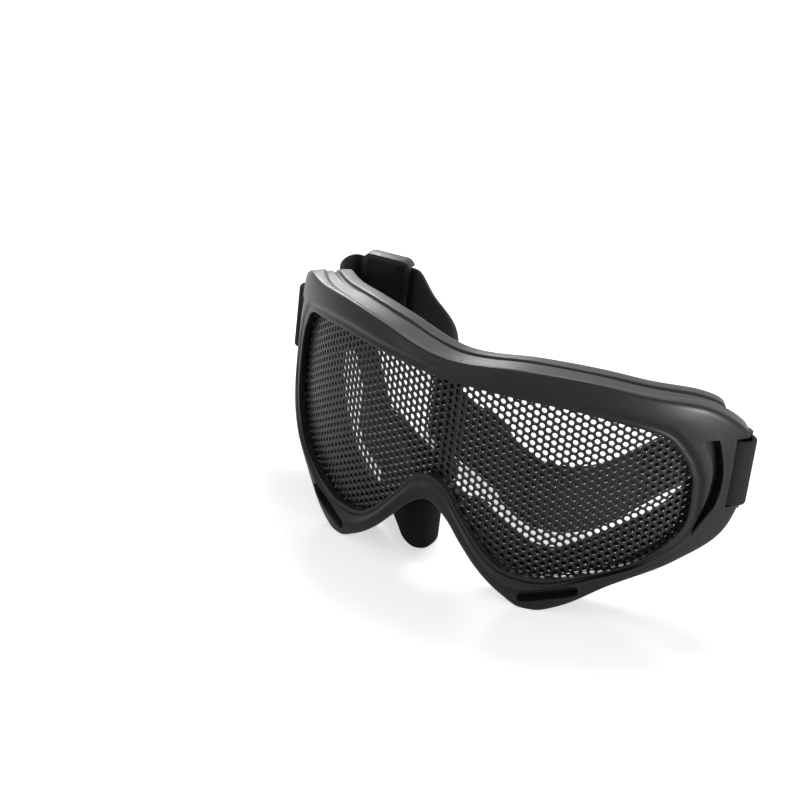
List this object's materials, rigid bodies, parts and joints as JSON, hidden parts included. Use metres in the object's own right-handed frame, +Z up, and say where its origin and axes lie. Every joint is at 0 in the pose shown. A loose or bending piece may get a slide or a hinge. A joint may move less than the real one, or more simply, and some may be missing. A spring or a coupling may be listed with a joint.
{
  "type": "tactical goggles",
  "caption": "Wrap-round tactical goggles with a soft one-piece rim, a perforated steel lens bent to the face and an elastic head strap with a slider.",
  "frame": {"origin": "on the surface that the goggles rest on, under the middle of the whole object's box", "axes": "+Z up through the brow; -Y is the way the lens looks; +X is towards the wearer's left"},
  "size_m": [0.224, 0.1693, 0.0803],
  "materials": {
    "rim": "satin",
    "mesh": "satin",
    "post": "matte",
    "webbing": "matte",
    "thread": "matte",
    "slider": "satin"
  },
  "bodies": {
    "goggles": {"frame_shell": "rim", "mesh_lens": "mesh", "centre_post": "post", "strap_main": "webbing"},
    "loop_left": {"strap_loop_left": "webbing", "stitch_left": "thread"},
    "loop_right": {"strap_loop_right": "webbing", "stitch_right": "thread"},
    "slider": {"slider": "slider"}
  },
  "joints": [
    {"name": "left_loop_swing", "type": "hinge", "parent": "goggles", "child": "loop_left", "pos_m": [-0.05512, -0.03526, 0.051], "axis": [0, 0, 1], "range_deg": [-15, 15]},
    {"name": "right_loop_swing", "type": "hinge", "parent": "goggles", "child": "loop_right", "pos_m": [0.10745, -0.03526, 0.051], "axis": [0, 0, 1], "range_deg": [-15, 15]},
    {"name": "slider_slide", "type": "slide", "parent": "goggles", "child": "slider", "axis": [0.9847, 0.174, 0], "range_m": [-0.0035, 0.001]}
  ]
}
